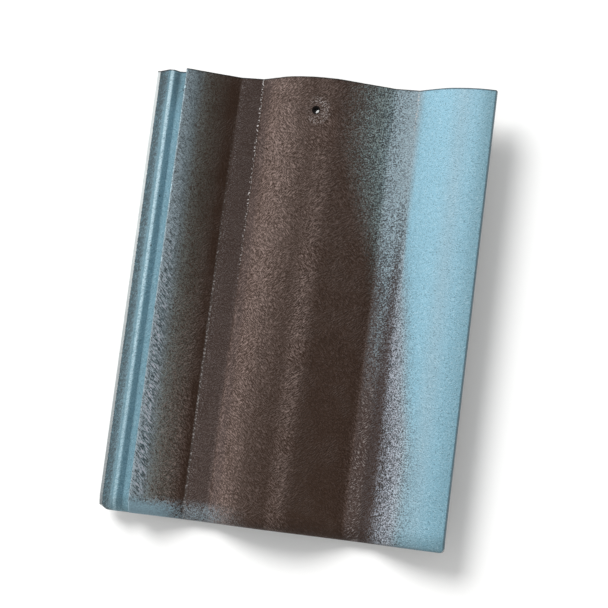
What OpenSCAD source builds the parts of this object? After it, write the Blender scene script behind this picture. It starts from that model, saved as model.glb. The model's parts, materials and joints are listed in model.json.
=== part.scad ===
// Interlocking roof tile with a wave section: two flat pans, a full roll between them,
// a half roll beside the water lock and a last roll that covers the neighbour's water lock.
// The section is drawn in X and Z with the top of the pans at Z = 0, and runs along Y from tail to head.

/* [Tile] */
// Overall width, from the lip of the water lock to the cover edge
tile_w = 330; // [290:1:390]
// How far the cover edge reaches over the neighbour's water lock
side_lap = 30; // [28:0.5:33]
// Overall length, from tail to head
tile_l = 420; // [380:1:450]
// Thickness of the shell
shell_t = 11.5; // [9:0.5:14]

/* [Wave] */
// Flat width of a pan
pan_w = 22; // [16:1:26]
// Height of a roll above the pans
roll_h = 26; // [22:0.5:28]
// Slope of a roll's steep flank, on the side of the water lock
steep_slope = 34; // [32:1:42]
// Slope of a roll's shallow flank, on the side of the cover edge
shallow_slope = 25; // [24:1:30]
// Width of the half roll beside the water lock
half_roll_w = 48.5; // [45:0.5:53]
// Radius of the edges beside the step and at the cover edge
arris_r = 2; // [1:0.5:3]

/* [Water lock] */
// Width of the lock, from its outer edge to the top of the step
lock_w = 34.5; // [33:0.5:37]
// Width of the flat lip along the outer edge
lip_w = 3; // [2:0.5:5]
// Height of the lip above the lock's underside
lip_h = 3.5; // [2.5:0.5:5]
// Middle of the ridge, from the outer edge
ridge_x = 17.5; // [15.5:0.5:18]
// Width of the ridge's flat top
ridge_w = 5; // [4:0.5:6]
// Height of the ridge above the groove's floor
ridge_h = 6; // [4:0.5:7]
// Radius of the ridge's edges
ridge_r = 2.5; // [1:0.5:3]
// Width of the water groove's floor
groove_w = 8; // [7:0.5:9]
// Height of the water groove's floor above the top of the pans
groove_h = 6; // [5.5:0.5:7]
// Thickness of the lock under the groove
lock_t = 7.5; // [6:0.5:8]
// How far the step leans over its height
step_lean = 2.5; // [1.5:0.5:3.5]

/* [Cover lock] */
// Gap between the cover lip and the floor and ridge of the neighbour's groove
lock_gap = 1.5; // [1:0.25:2.5]
// Width of the drip rib inside the cover lock
drip_rib_w = 5; // [4:0.5:7]
// Depth of the drip rib below the roof of the cover lock
drip_rib_d = 8; // [4:0.5:9]
// Width of the straight fall between the last crest and the cover edge
cover_edge_w = 4; // [3:0.5:6]
// Height of the upright face of the cover edge
edge_face_h = 7; // [5:0.5:9]
// How far the cover edge leans in below its upright face
edge_lean = 1.5; // [1:0.25:2]

/* [Tail nose] */
// Length of the rounded nose
nose_l = 14; // [8:1:18]
// Drop of the nose below the top face
nose_d = 8.5; // [5:0.5:9]
// Angle at which the nose leaves the top face
nose_start = 15; // [5:1:25]
// Radius in plan of the tail corner at the cover edge
tail_corner_r = 5; // [5:1:12]

/* [Nail hole] */
// Diameter of the hole
nail_d = 5; // [4:0.5:8]
// Diameter of the countersink at the top face
countersink_d = 10; // [9:0.5:14]
// Depth of the countersink
countersink_depth = 2.5; // [1:0.5:4]
// Distance from the head to the middle of the hole
nail_from_head = 31.5; // [25:0.5:50]
// Distance from the crest of the middle roll to the middle of the hole
nail_from_crest = 2; // [-8:0.5:8]

/* [Hanging nibs] */
// Width of a nib at its root
nib_w = 26; // [16:1:28]
// Length of a nib at its root, along the tile
nib_l = 18; // [12:1:26]
// Height of a nib below the underside of its pan
nib_h = 15; // [10:1:20]
// Draft of a nib's sides and back over its height
nib_draft = 3; // [1:0.5:4]
// Distance from the head to the back of a nib
nib_from_head = 6; // [2:1:20]

/* [Weather bars] */
// Number of bars across the underside at the tail
bar_count = 2; // [1:1:3]
// Distance from the tail to the first bar
bar_from_tail = 22; // [18:1:40]
// Distance from one bar to the next
bar_pitch = 30; // [20:1:45]
// Width of a bar, along the tile
bar_w = 8; // [5:1:12]
// Depth of a bar below the underside
bar_d = 7; // [3:1:9]

/* [Hidden] */
$fn = 64;

// Largest distance between an arc and the chords that stand for it
chord_error = 0.05;
// Overlap that makes two solids one, and takes a cutter past a face
bite = 1;
// Number of flat cuts that round the nose
nose_cuts = 4;

// The wave: the covering width, the distance from one pan to the next, and where pans and crests lie
cover_w = tile_w - side_lap;
pitch = cover_w / 2;
roll_w = pitch - pan_w;
first_pan_x = lock_w + half_roll_w;
first_roll_x = first_pan_x + pan_w;
last_roll_x = first_roll_x + pitch;
flanks_w = roll_h / tan(steep_slope) + roll_h / tan(shallow_slope);
crest_r = (roll_w - flanks_w) / (tan(steep_slope / 2) + tan(shallow_slope / 2));
crest_x = crest_r * tan(steep_slope / 2) + roll_h / tan(steep_slope);
crest_centre_z = roll_h - crest_r;
cover_fall = asin((tile_w - cover_edge_w - last_roll_x - crest_x) / crest_r);
cover_edge_z = crest_centre_z + crest_r * cos(cover_fall) - cover_edge_w * tan(cover_fall);

// The water lock and the shell that backs its step
lock_under_z = groove_h - lock_t;
lip_z = lock_under_z + lip_h;
ridge_z = groove_h + ridge_h;
step_foot_x = lock_w - step_lean;
groove_x = step_foot_x - groove_w;
wall_foot_x = step_foot_x + shell_t;
wall_top_x = lock_w + shell_t;

// The cover lock, which stands over the neighbour's water lock
cover_lip_x = cover_w + groove_x + lock_gap;
cover_lip_z = groove_h + lock_gap;
drip_rib_x = cover_w + lip_w - drip_rib_w / 2;

// The underside, and how the tile lies on a level floor: on its first bar and its nibs
bar_z = -shell_t - bar_d;
nib_z = -shell_t - nib_h;
nib_face_y = tile_l - nib_from_head - nib_l;
rest_slope = atan2(bar_z - nib_z, nib_face_y - bar_from_tail);
floor_z = bar_from_tail * sin(rest_slope) + bar_z * cos(rest_slope);
head_y = tile_l * cos(rest_slope) + shell_t * sin(rest_slope);
tail_y = -(roll_h - nose_d) * sin(rest_slope);

function unit(v) = v / norm(v);
function backwards(list) = [for (i = [len(list) - 1:-1:0]) list[i]];

// Points of the arc of radius r that rounds the corner b between a and c
function fillet(a, b, c, r) =
    let (u = unit(a - b), v = unit(c - b), half = acos(u * v) / 2)
    let (centre = b + unit(u + v) * r / sin(half), spoke = b + u * r / tan(half) - centre)
    let (turn = (u[0] * v[1] > u[1] * v[0] ? -1 : 1) * (180 - 2 * half))
    let (chords = ceil(abs(turn) / (2 * acos(1 - chord_error / r))))
    [for (i = [0:chords])
        let (s = sin(turn * i / chords), k = cos(turn * i / chords))
        centre + [spoke[0] * k - spoke[1] * s, spoke[0] * s + spoke[1] * k]];

// Points of a closed outline of [x, z, radius] corners
function rounded(corners) =
    let (n = len(corners), at = [for (c = corners) [c[0], c[1]]])
    [for (i = [0:n - 1])
        each corners[i][2] == 0 ? [at[i]]
            : fillet(at[(i + n - 1) % n], at[i], at[(i + 1) % n], corners[i][2])];

// Edges of the pans at a depth below the top face: at the foot of a shallow flank and of a steep one
function shallow_foot(x, depth) = [x - depth * tan(shallow_slope / 2), -depth, 0];
function steep_foot(x, depth) = [x + depth * tan(steep_slope / 2), -depth, 0];

// Corner that its radius rounds to the crest of the roll that starts at x; sharp below the crest's centre
function crest(x, depth, fall) =
    let (r = crest_r - depth, lean = (steep_slope - fall) / 2)
    let (reach = r / cos((steep_slope + fall) / 2))
    [x + crest_x - reach * sin(lean), crest_centre_z + reach * cos(lean), max(r, 0)];

// Corners of the wave at a depth below the top face, from start_x on the half roll to the cover edge
function wave(start_x, depth, edge_r) =
    let (half_roll_rise = (shallow_foot(first_pan_x, depth)[0] - start_x) * tan(shallow_slope))
    [
        [start_x, half_roll_rise - depth, edge_r],
        shallow_foot(first_pan_x, depth),
        steep_foot(first_roll_x, depth),
        crest(first_roll_x, depth, shallow_slope),
        shallow_foot(first_roll_x + roll_w, depth),
        steep_foot(last_roll_x, depth),
        crest(last_roll_x, depth, cover_fall),
        [tile_w, cover_edge_z - depth / cos(cover_fall), edge_r]
    ];

// Corners of the top face, from the outer edge of the water lock to the cover edge
top_corners = concat(
    [
        [0, lip_z, 0],
        [lip_w, lip_z, 0],
        [ridge_x - ridge_w / 2, ridge_z, ridge_r],
        [ridge_x + ridge_w / 2, ridge_z, ridge_r],
        [groove_x, groove_h, 0],
        [step_foot_x, groove_h, 0]
    ],
    wave(lock_w, 0, arris_r)
);

// Corners of the underside, from the outer edge of the water lock to the cover edge
under_corners = concat(
    [[0, lock_under_z, 0], [wall_foot_x, lock_under_z, 0]],
    wave(wall_top_x, shell_t, 0)
);

// Runs a section in X and Z along the tile
module along(from_y, to_y) {
    translate([0, to_y, 0])
        rotate([90, 0, 0])
            linear_extrude(to_y - from_y)
                children();
}

// Rib of the section that hangs from the roof of the cover lock
module hanging_rib(from_x, to_x, bottom_z) {
    translate([from_x, bottom_z])
        square([to_x - from_x, cover_edge_z - shell_t / 2 - bottom_z]);
}

// Everything outside the leaning part of the cover edge
module edge_lean_cutter() {
    face_foot_z = cover_edge_z - edge_face_h;
    polygon([
        [tile_w, face_foot_z],
        [tile_w - edge_lean, cover_lip_z],
        [tile_w - edge_lean, cover_lip_z - bite],
        [tile_w + bite, cover_lip_z - bite],
        [tile_w + bite, face_foot_z]
    ]);
}

// Whole section: shell, cover lip and drip rib
module section() {
    roof_z = crest_centre_z + crest_r - shell_t;
    difference() {
        union() {
            polygon(rounded(concat(top_corners, backwards(under_corners))));
            hanging_rib(cover_lip_x, tile_w, cover_lip_z);
            hanging_rib(drip_rib_x, drip_rib_x + drip_rib_w, roof_z - drip_rib_d);
        }
        edge_lean_cutter();
    }
}

// Point [y, depth] of the nose's round, from the top face at 0 to the tail at 1
function nose_point(share) =
    let (angle = nose_start + (90 - nose_start) * share)
    [
        nose_l * (1 - sin(angle)) / (1 - sin(nose_start)),
        nose_d * (1 - cos(angle) / cos(nose_start))
    ];

// Space above the top face, as seen along a slope: its heights shrink by the slope's cosine
module space_above_top(slope) {
    outline = concat(
        [[-bite, lip_z, 0]],
        top_corners,
        [[tile_w, 0, 0], [tile_w + bite, 0, 0], [tile_w + bite, 2 * roll_h, 0], [-bite, 2 * roll_h, 0]]
    );
    polygon([for (p = rounded(outline)) [p[0], p[1] * cos(slope)]]);
}

// Flat cuts, each along one chord of the nose's round
module nose_cutters() {
    reach = 2 * (roll_h + nose_l);
    for (i = [0:nose_cuts - 1]) {
        upper = nose_point(i / nose_cuts);
        lower = nose_point((i + 1) / nose_cuts);
        slope = atan2(lower[1] - upper[1], upper[0] - lower[0]);
        translate([0, upper[0], -upper[1]])
            rotate([slope, 0, 0])
                along(-reach, reach)
                    space_above_top(slope);
    }
}

// Everything outside the round of the tail corner, over the whole height
module tail_corner_cutter() {
    translate([tile_w - tail_corner_r, 0, -shell_t])
        linear_extrude(shell_t + 2 * roll_h)
            difference() {
                translate([0, -bite])
                    square(tail_corner_r + bite);
                translate([0, tail_corner_r])
                    circle(tail_corner_r);
            }
}

// Nail hole with its countersink
module nail_cutter() {
    top_z = crest_centre_z + sqrt(crest_r ^ 2 - nail_from_crest ^ 2);
    sink_taper = (countersink_d - nail_d) / countersink_depth;
    translate([first_roll_x + crest_x + nail_from_crest, tile_l - nail_from_head, top_z]) {
        translate([0, 0, -2 * shell_t])
            cylinder(d = nail_d, h = 3 * shell_t);
        translate([0, 0, -countersink_depth])
            cylinder(
                d1 = nail_d,
                d2 = nail_d + sink_taper * 2 * countersink_depth,
                h = 2 * countersink_depth
            );
    }
}

// Nib under the middle of a pan, with a square face towards the tail that hangs on the batten
module nib(pan_x) {
    root_z = bite - shell_t;
    intersection() {
        along(nib_face_y, nib_face_y + nib_l)
            polygon([
                [pan_x - nib_w / 2, root_z],
                [pan_x + nib_w / 2, root_z],
                [pan_x + nib_w / 2 - nib_draft, nib_z],
                [pan_x - nib_w / 2 + nib_draft, nib_z]
            ]);
        translate([pan_x - nib_w / 2, 0, 0])
            rotate([90, 0, 90])
                linear_extrude(nib_w)
                    polygon([
                        [nib_face_y, root_z],
                        [nib_face_y + nib_l, root_z],
                        [nib_face_y + nib_l - nib_draft, nib_z],
                        [nib_face_y, nib_z]
                    ]);
    }
}

// Bar across the underside that follows the wave
module weather_bar(from_y) {
    root = wave(lock_w + bite, shell_t - bite, 0);
    edge = wave(lock_w + bite, shell_t + bar_d, 0);
    along(from_y, from_y + bar_w)
        intersection() {
            polygon(rounded(concat(root, backwards(edge))));
            translate([0, bar_z - bite])
                square([cover_w - lock_gap, bite - bar_z + roll_h]);
        }
}

// The tile as it lies on a level floor, with its origin under its middle
module roof_tile() {
    color("#54463f")
        translate([-tile_w / 2, -(head_y + tail_y) / 2, -floor_z])
            rotate([rest_slope, 0, 0]) {
                difference() {
                    along(0, tile_l)
                        section();
                    nose_cutters();
                    tail_corner_cutter();
                    nail_cutter();
                }
                for (pan = [0, 1])
                    nib(first_pan_x + pan_w / 2 + pan * pitch);
                for (i = [0:bar_count - 1])
                    weather_bar(bar_from_tail + i * bar_pitch);
            }
}

roof_tile();
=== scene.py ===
"""Interlocking roof tile of concrete with a sprayed colour coat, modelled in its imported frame.

The tile is drawn in its own frame, with X from the water lock to the cover edge, Y from tail to head and
Z = 0 at the top of the pans. The finished mesh is then laid where the frame's tile lies.
"""

import json
import math

import bmesh
import bpy
from bpy.props import FloatProperty, FloatVectorProperty, IntProperty, PointerProperty
from mathutils import Matrix, Vector, noise


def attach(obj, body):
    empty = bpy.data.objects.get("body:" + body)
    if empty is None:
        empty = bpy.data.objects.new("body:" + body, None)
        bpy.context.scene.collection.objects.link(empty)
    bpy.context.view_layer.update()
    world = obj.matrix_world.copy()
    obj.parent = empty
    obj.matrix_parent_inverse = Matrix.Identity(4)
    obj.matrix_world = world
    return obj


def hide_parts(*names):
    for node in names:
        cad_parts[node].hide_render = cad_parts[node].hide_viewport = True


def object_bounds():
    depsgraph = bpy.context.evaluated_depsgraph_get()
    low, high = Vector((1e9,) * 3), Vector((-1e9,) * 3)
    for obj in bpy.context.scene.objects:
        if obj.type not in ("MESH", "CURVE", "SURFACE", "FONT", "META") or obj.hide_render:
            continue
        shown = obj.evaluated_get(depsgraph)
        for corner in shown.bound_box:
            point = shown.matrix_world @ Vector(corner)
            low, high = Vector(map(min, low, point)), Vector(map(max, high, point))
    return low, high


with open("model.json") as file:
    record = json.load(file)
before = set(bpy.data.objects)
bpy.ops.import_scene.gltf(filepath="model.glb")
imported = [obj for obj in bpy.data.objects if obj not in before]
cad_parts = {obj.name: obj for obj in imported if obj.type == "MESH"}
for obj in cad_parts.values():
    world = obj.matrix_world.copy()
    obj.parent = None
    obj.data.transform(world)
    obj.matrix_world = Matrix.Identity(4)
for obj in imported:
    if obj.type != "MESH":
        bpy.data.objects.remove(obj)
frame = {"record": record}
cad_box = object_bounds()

bl_info = {
    "name": "Coated roof tile",
    "version": (1, 0, 0),
    "blender": (4, 5, 0),
    "location": "3D View > Sidebar > Roof tile",
    "description": "Models an interlocking roof tile with a sprayed colour coat, and a pale stage for it",
    "category": "Object",
}

MM = 0.001
TILE_NODE = "roof_tile"
COAT, BARE = 0, 1
MOUNTS = {mount["name"]: mount for mount in frame["record"]["mounts"]}

# How near two places are when they count as one: for welding, and for sorting the mesh
WELD = 1e-7
NEAR = 1e-6
# How far a weather bar reaches into the shell, and the tail corner's cutter past its edges
BITE = 1 * MM
# Steps round the nail hole, and sides of the floor
HOLE_STEPS = 48
FLOOR_SIDES = 64
# Faces that meet more sharply than this keep their edge
SHARP_ANGLE = math.radians(22)
# Sizes of the relief's grain, and of the longer and shorter waves of its swell
GRAIN_SIZE = 3.6 * MM
LONG_SWELL = 21 * MM
SHORT_SWELL = 9 * MM
# Sheen of the coat and of bare concrete, and the depths of their finest relief
COAT_SHEEN, BARE_SHEEN = 0.22, 0.3
COAT_BUMP, BARE_BUMP = 0.7 * MM, 0.5 * MM
# Height of the coat's strokes on upright faces, as a share of their length
STROKE_HEIGHT = 1.2
# Tone at which the brown ground is at its brightest
FULL_TONE = 1.7


# Properties

def length(name, description, millimetres):
    """A length in millimetres as a property in metres."""
    return FloatProperty(
        name=name, description=description, default=millimetres * MM, unit="LENGTH", precision=5
    )


def angle(name, description, degrees):
    """An angle in degrees as a property."""
    return FloatProperty(name=name, description=description, default=math.radians(degrees), subtype="ANGLE")


def colour(name, description, code):
    """A colour written as a hexadecimal screen colour, as a property."""
    shares = [int(code[i:i + 2], 16) / 255 for i in (0, 2, 4)]
    linear = [c / 12.92 if c <= 0.04045 else ((c + 0.055) / 1.055) ** 2.4 for c in shares]
    return FloatVectorProperty(
        name=name, description=description, default=linear, subtype="COLOR", min=0, max=1
    )


def share(name, description, default):
    """A share from 0 to 1 as a property."""
    return FloatProperty(name=name, description=description, default=default, min=0, max=1, subtype="FACTOR")


class TileSizes(bpy.types.PropertyGroup):
    """Sizes of the tile"""

    width: length("Width", "Lip of the water lock to cover edge", (cad_box[1].x - cad_box[0].x) / MM)
    side_lap: length("Side lap", "How far the cover edge reaches over the neighbour", 30)
    run: length("Length", "Tail to head", 420)
    shell: length("Shell", "Thickness of the shell", 11.5)
    pan: length("Pan", "Flat width of a pan", 22)
    roll: length("Roll height", "Height of a roll above the pans", 26)
    steep: angle("Steep flank", "Slope of a roll on the water lock's side", 34)
    shallow: angle("Shallow flank", "Slope of a roll on the cover edge's side", 25)
    half_roll: length("Half roll", "Width of the half roll beside the water lock", 48.5)
    arris: length("Arris", "Radius of the edges beside the step and at the cover edge", 2)
    lock: length("Water lock", "Outer edge to the top of the step", 34.5)
    lip: length("Lip", "Width of the flat lip along the outer edge", 3)
    lip_height: length("Lip height", "Height of the lip above the lock's underside", 3.5)
    ridge_place: length("Ridge place", "Middle of the lock's ridge, from the outer edge", 17.5)
    ridge: length("Ridge", "Width of the ridge's flat top", 5)
    ridge_height: length("Ridge height", "Height of the ridge above the groove's floor", 6)
    ridge_round: length("Ridge round", "Radius of the ridge's edges", 2.5)
    groove: length("Groove", "Width of the water groove's floor", 8)
    groove_height: length("Groove height", "Height of the groove's floor above the pans", 6)
    lock_thickness: length("Lock thickness", "Thickness of the lock under the groove", 7.5)
    step_lean: length("Step lean", "How far the step leans over its height", 2.5)
    cover_gap: length("Cover gap", "Gap between the cover lip and the neighbour's groove", 1.5)
    drip_rib: length("Drip rib", "Width of the drip rib inside the cover lock", 5)
    drip_rib_depth: length("Drip rib depth", "Depth of the drip rib below the roof above it", 8)
    cover_fall_width: length("Cover fall", "Width of the straight fall before the cover edge", 4)
    edge_face: length("Edge face", "Height of the upright face of the cover edge", 7)
    edge_lean: length("Edge lean", "How far the cover edge leans in below its upright face", 1.5)
    soft_edge: length("Soft edge", "Radius of the cast edges of lip and ribs", 0.8)
    nose: length("Nose", "Length of the rounded nose at the tail", 14)
    nose_drop: length("Nose drop", "Drop of the nose below the top face", 8.5)
    nose_start: angle("Nose start", "Angle of the round at which the nose leaves the top face", 15)
    nose_edge: length("Nose edge", "Least thickness that the nose leaves at the tail", 0.6)
    tail_corner: length("Tail corner", "Radius in plan of the tail corner at the cover edge", 5)
    nail_radius: length("Nail hole", "Radius of the nail hole", MOUNTS["nail_hole"]["dims"]["r_mm"])
    sink_radius: length("Countersink", "Radius of the countersink at the top face", 5)
    sink_depth: length("Countersink depth", "Depth of the countersink", 2.5)
    nail_from_head: length("Nail place", "Head to the middle of the nail hole", 31.5)
    nail_from_crest: length("Nail offset", "Crest of the middle roll to the nail hole", 2)
    nib: length("Nib", "Width of a hanging nib at its root", 26)
    nib_run: length("Nib length", "Length of a nib at its root, along the tile", 18)
    nib_height: length("Nib height", "Height of a nib below the underside of its pan", 15)
    nib_draft: length("Nib draft", "Draft of a nib's sides and back", 3)
    nib_from_head: length("Nib place", "Head to the back of a nib", 6)
    bars: IntProperty(
        name="Bars", description="Number of weather bars under the tail", default=2, min=1, max=3
    )
    bar_from_tail: length("Bar place", "Tail to the first weather bar", 22)
    bar_pitch: length("Bar pitch", "One weather bar to the next", 30)
    bar: length("Bar", "Width of a weather bar, along the tile", 8)
    bar_depth: length("Bar depth", "Depth of a weather bar below the underside", 7)
    top_mesh: length("Top mesh", "Spacing of the mesh on the top face", 1.7)
    under_mesh: length("Underside mesh", "Spacing of the mesh across the underside", 7)
    grain: length("Grain", "Depth of the coat's grain", 0.16)
    swell: length("Swell", "Depth of the long unevenness of the top face", 0.3)
    dimple: length("Dimple", "Depth of the dimple pressed round the nail hole", 0.5)


class TileFinish(bpy.types.PropertyGroup):
    """Colours of the coat and of the bare concrete"""

    dark_brown: colour("Dark brown", "Coat on the shallow flanks", "2e1c0f")
    # Bright brown, the coat's lightest tone, stands on the steep flanks partly for painted sheen
    bright_brown: colour("Bright brown", "Grains of the coat on the steep flanks", "89766f")
    # Purple brown is partly bloom, partly painted sheen
    purple_brown: colour("Purple brown", "Bloom in the pans", "4a4040")
    warm_brown: colour("Warm brown", "Ground on the middle roll's shallow flank", "3c2a1f")
    # Crease brown also paints the shade in the nail hole
    crease_brown: colour("Crease brown", "Head's edge, pits in the lock, and the nail hole", "140d09")
    haze: colour("Haze", "Grey haze beside the step and along the nose", "8d9da5")
    blue: colour("Blue", "Sprayed colour", "8cb9cc")
    deep_blue: colour("Deep blue", "Sprayed colour towards the tail", "7ba5b6")
    pale_blue: colour("Pale blue", "Sprayed colour where it lies thin and dry", "93a5ae")
    # Lilac also paints highlights on the strokes beside the step
    lilac: colour("Lilac", "Spray where it thins out on the last roll, and strokes beside the step", "b2b1bc")
    sage: colour("Sage", "Thin green-grey dust of the spray on the shallow flanks", "7c8882")
    dull_blue: colour("Dull blue", "Sprayed colour along the edges and in the lock", "7396a2")
    # Slate also paints shade along the cover edge and between the strokes beside the step
    slate: colour("Slate", "Outer slope of the water lock, and dark grains of the spray", "36464c")
    # Ridge blue is partly pale rubbed coat and partly painted highlight, on the ridge, the step's arris and
    # the spray's strokes
    ridge_blue: colour("Ridge blue", "Top of the lock's ridge, and bright grains of the spray", "bcd8e2")
    # Glint paints highlights on standing grains
    glint: colour("Glint", "Grains that stand up in creases and pans", "c9c4c2")
    concrete: colour("Concrete", "Bare concrete", "8a9092")
    sand: colour("Sand", "Grains of sand in the bare concrete", "6f5e57")
    pale_concrete: colour("Pale concrete", "Lime bloom on the bare lip", "d4dada")
    roughness: share("Roughness", "Roughness of the coat", 0.5)


class StageSettings(bpy.types.PropertyGroup):
    """Floor, lights and camera"""

    camera_place: FloatVectorProperty(
        name="Camera place", description="Where the camera stands",
        default=(0.4002, -0.2220, 1.6901), unit="LENGTH", subtype="XYZ",
    )
    camera_turn: FloatVectorProperty(
        name="Camera turn", description="How the camera is turned",
        default=[math.radians(a) for a in (9.10, 12.21, 7.65)], subtype="EULER",
    )
    lens: FloatProperty(name="Lens", description="Focal length of the camera", default=110.5, unit="CAMERA")
    floor_radius: FloatProperty(
        name="Floor radius", description="Radius of the floor", default=30, unit="LENGTH"
    )
    floor_colour: colour("Floor colour", "Colour of the pale floor", "f4f4f3")
    floor_lift: share("Floor lift", "White that the floor adds where it is looked at", 0.1)
    key_turn: FloatVectorProperty(
        name="Key turn", description="How the soft key light is turned from straight down",
        default=[math.radians(a) for a in (-33.3, -28.8, 0)], subtype="EULER",
    )
    key_spread: angle("Key spread", "Angle over which the key light spreads, which softens its shadows", 30)
    key_strength: FloatProperty(name="Key strength", description="Strength of the key light", default=2.55)
    low_place: FloatVectorProperty(
        name="Low place", description="Where the low light stands that gives the steep flanks their sheen",
        default=(-1.5, 0.15, 0.33), unit="LENGTH", subtype="XYZ",
    )
    low_side: FloatProperty(name="Low side", description="Side of the low light", default=0.8, unit="LENGTH")
    low_power: FloatProperty(name="Low power", description="Power of the low light", default=6, unit="POWER")
    sky: share("Sky", "Strength of the even light from all round", 0.5)


# Section of the tile, as corners of x, z and radius

class Wave:
    """Places that follow from the tile's sizes."""

    def __init__(self, sizes):
        s = self.sizes = sizes
        self.cover = s.width - s.side_lap
        self.pitch = self.cover / 2
        self.roll_width = self.pitch - s.pan
        self.first_pan = s.lock + s.half_roll
        self.first_roll = self.first_pan + s.pan
        self.last_roll = self.first_roll + self.pitch
        steep, shallow = math.tan(s.steep), math.tan(s.shallow)
        lean = math.tan(s.steep / 2) + math.tan(s.shallow / 2)
        self.crest_radius = (self.roll_width - s.roll / steep - s.roll / shallow) / lean
        self.crest = self.crest_radius * math.tan(s.steep / 2) + s.roll / steep
        self.crest_centre = s.roll - self.crest_radius
        past_crest = s.width - s.cover_fall_width - self.last_roll - self.crest
        self.cover_fall = math.asin(past_crest / self.crest_radius)
        self.cover_edge = (
            self.crest_centre + self.crest_radius * math.cos(self.cover_fall)
            - s.cover_fall_width * math.tan(self.cover_fall)
        )
        self.step_foot = s.lock - s.step_lean
        self.groove_start = self.step_foot - s.groove
        self.wall_foot = self.step_foot + s.shell
        self.wall_top = s.lock + s.shell
        self.cover_lip = self.cover + self.groove_start + s.cover_gap
        self.cover_lip_foot = s.groove_height + s.cover_gap
        self.cover_lip_end = s.width - s.edge_lean
        self.lock_under = s.groove_height - s.lock_thickness
        self.nail = (
            self.first_roll + self.crest + s.nail_from_crest,
            s.run - s.nail_from_head,
            self.crest_height(s.nail_from_crest),
        )

    def crest_height(self, offset, depth=0):
        """Height of a crest's round at an offset from the crest, at a depth below the top face."""
        return self.crest_centre + math.sqrt((self.crest_radius - depth) ** 2 - offset ** 2)

    def shallow_foot(self, x, depth):
        """Corner at the foot of the shallow flank that meets a pan at x, at a depth below the top face."""
        return (x - depth * math.tan(self.sizes.shallow / 2), -depth, 0)

    def steep_foot(self, x, depth):
        """Corner at the foot of the steep flank that starts at x, at a depth below the top face."""
        return (x + depth * math.tan(self.sizes.steep / 2), -depth, 0)

    def crest_corner(self, x, depth, fall):
        """Corner that its radius rounds to the crest of the roll that starts at x."""
        radius = self.crest_radius - depth
        lean = (self.sizes.steep - fall) / 2
        reach = radius / math.cos((self.sizes.steep + fall) / 2)
        return (x + self.crest - reach * math.sin(lean), self.crest_centre + reach * math.cos(lean), radius)

    def corners(self, start, depth):
        """Corners of the wave at a depth below the top face, from the half roll to the last crest."""
        s = self.sizes
        foot = self.shallow_foot(self.first_pan, depth)
        return [
            (start, (foot[0] - start) * math.tan(s.shallow) - depth, 0),
            foot,
            self.steep_foot(self.first_roll, depth),
            self.crest_corner(self.first_roll, depth, s.shallow),
            self.shallow_foot(self.first_roll + self.roll_width, depth),
            self.steep_foot(self.last_roll, depth),
            self.crest_corner(self.last_roll, depth, self.cover_fall),
        ]

    def cover_roof(self, x, depth):
        """Height of the straight fall at the cover edge, at a depth below the top face."""
        fall = math.tan(self.cover_fall)
        return self.cover_edge + (self.sizes.width - x) * fall - depth / math.cos(self.cover_fall)

    def weather_face(self):
        """Corners of the top and side faces, from the foot of the lip to the foot of the cover lip."""
        s = self.sizes
        half_ridge = s.ridge / 2
        lip_top = self.lock_under + s.lip_height
        ridge_top = s.groove_height + s.ridge_height
        wave = self.corners(s.lock, 0)
        step_top = (*wave[0][:2], s.arris)
        return [
            (0, self.lock_under, 0),
            (0, lip_top, s.soft_edge),
            (s.lip, lip_top, s.soft_edge),
            (s.ridge_place - half_ridge, ridge_top, s.ridge_round),
            (s.ridge_place + half_ridge, ridge_top, s.ridge_round),
            (self.groove_start, s.groove_height, s.soft_edge),
            (self.step_foot, s.groove_height, s.soft_edge),
            step_top,
            *wave[1:],
            (s.width, self.cover_edge, s.arris),
            (s.width, self.cover_edge - s.edge_face, 0),
            (self.cover_lip_end, self.cover_lip_foot, 0),
        ]

    def underside(self):
        """Corners of the underside, from the foot of the cover lip to the foot of the lip."""
        s = self.sizes
        rise = self.corners(self.wall_top, s.shell)[:-1]
        rib_middle = self.cover + s.lip
        rib_start, rib_end = rib_middle - s.drip_rib / 2, rib_middle + s.drip_rib / 2
        crest_place = self.last_roll + self.crest
        rib_foot = s.roll - s.shell - s.drip_rib_depth
        return [
            (self.cover_lip_end, self.cover_lip_foot, 0),
            (self.cover_lip, self.cover_lip_foot, s.soft_edge),
            (self.cover_lip, self.crest_height(self.cover_lip - crest_place, s.shell), 2 * s.soft_edge),
            (crest_place, s.roll - s.shell, 0),
            (rib_end, self.crest_height(rib_end - crest_place, s.shell), 2 * s.soft_edge),
            (rib_end, rib_foot, s.soft_edge),
            (rib_start, rib_foot, s.soft_edge),
            (rib_start, self.crest_height(rib_start - crest_place, s.shell), 2 * s.soft_edge),
            *reversed(rise),
            (self.wall_foot, self.lock_under, 2 * s.soft_edge),
            (0, self.lock_under, 0),
        ]


# Mesh of the tile

def round_corner(bm, vert, radius, pitch):
    """Rounds a corner of a chain of edges to an arc of the radius."""
    sides = [(edge.other_vert(vert).co - vert.co) for edge in vert.link_edges]
    half = sides[0].angle(sides[1]) / 2
    arc = radius * (math.pi - 2 * half)
    bmesh.ops.bevel(
        bm, geom=[vert], affect="VERTICES", offset=radius / math.tan(half), offset_type="OFFSET",
        segments=max(3, round(arc / pitch)), profile=0.5, material=-1, clamp_overlap=False,
    )


def add_chain(bm, corners, pitch):
    """Adds edges through corners of x, z and radius, divided to about the pitch. Returns their vertices."""
    old_edges = set(bm.edges)
    verts = [bm.verts.new((x, 0, z)) for x, z, _ in corners]
    for a, b in zip(verts, verts[1:]):
        bm.edges.new((a, b))
    for vert, (_, _, radius) in zip(verts, corners):
        if radius:
            round_corner(bm, vert, radius, pitch)
    chain = [edge for edge in bm.edges if edge not in old_edges]
    for edge in chain:
        cuts = math.ceil(edge.calc_length() / pitch) - 1
        if cuts:
            bmesh.ops.subdivide_edges(bm, edges=[edge], cuts=cuts)
    return {vert for edge in bm.edges if edge not in old_edges for vert in edge.verts}


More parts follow.
